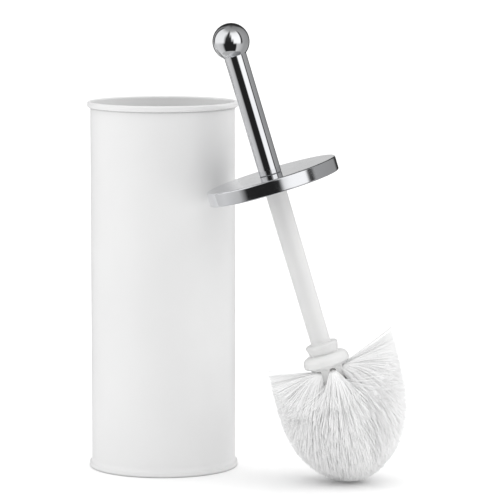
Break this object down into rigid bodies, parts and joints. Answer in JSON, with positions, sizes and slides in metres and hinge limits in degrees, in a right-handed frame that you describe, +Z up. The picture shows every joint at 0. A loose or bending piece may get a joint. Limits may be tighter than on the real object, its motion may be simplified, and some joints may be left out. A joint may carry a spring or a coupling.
{
  "type": "toilet brush and canister",
  "caption": "Tall round white canister with a rolled rim and a lift-out cup; beside it a domed white brush on a slim stem with a round polished lid, tube handle and ball knob.",
  "frame": {"origin": "on the floor, on the canister's axis", "axes": "+Z up along the canister's axis; +X towards the side where the brush stands; -Y towards the viewer"},
  "size_m": [0.2177, 0.1598, 0.3119],
  "materials": {
    "powder_coat": "fine-textured white powder coat on steel sheet",
    "sealing_rubber": "moulded grey rubber",
    "pale_silicone": "moulded milky silicone",
    "cup_plastic": "injection-moulded white polypropylene, satin",
    "chrome_plate": "polished bright plating",
    "chrome_tube": "drawn tube, polished and plated",
    "chrome_lid": "pressed sheet, polished and plated",
    "zinc_steel": "zinc-plated steel thread",
    "turned_steel": "turned steel",
    "brass_insert": "turned brass",
    "stem_plastic": "injection-moulded white polypropylene, semi-gloss",
    "hub_plastic": "injection-moulded white polypropylene, semi-gloss",
    "bristle": "white extruded monofilament",
    "staple_wire": "flat galvanised wire"
  },
  "bodies": {
    "holder": {"canister_shell": "powder_coat", "canister_base": "powder_coat", "base_seal": "sealing_rubber"},
    "cup": {"inner_cup": "cup_plastic"},
    "head": {"head_hub": "hub_plastic", "bristle_row_1": "bristle", "bristle_row_2": "bristle", "bristle_row_3": "bristle", "bristle_row_4": "bristle", "bristle_row_5": "bristle", "bristle_tip": "bristle", "tuft_staples": "staple_wire"},
    "washer": {"head_washer": "pale_silicone"},
    "stick": {"stem": "stem_plastic", "stem_insert": "brass_insert", "tie_stud": "zinc_steel", "lid_washer": "zinc_steel", "lid": "chrome_lid", "tube_gasket": "sealing_rubber", "lower_plug": "turned_steel", "handle_tube": "chrome_tube", "upper_plug": "turned_steel", "knob_stud": "zinc_steel", "knob_ball": "chrome_plate"}
  },
  "joints": [
    {"name": "cup_lift", "type": "slide", "parent": "holder", "child": "cup", "axis": [0, 0, 1], "range_m": [0, 0.26]},
    {"name": "brush_lift", "type": "slide", "parent": "holder", "child": "head", "axis": [0, 0, 1], "range_m": [0, 0.28]},
    {"name": "stem_rise", "type": "slide", "parent": "head", "child": "washer", "axis": [-0.2857, 0, 0.9583], "range_m": [0, 0.009]},
    {"name": "head_unscrew", "type": "hinge", "parent": "washer", "child": "stick", "pos_m": [0.11064, -0.06256, 0.08813], "axis": [-0.2857, 0, 0.9583], "range_deg": [0, 1081]}
  ],
  "couplings": [
    {"joint": "head_unscrew", "follows": "stem_rise", "rad_per_m": 2094.4}
  ]
}
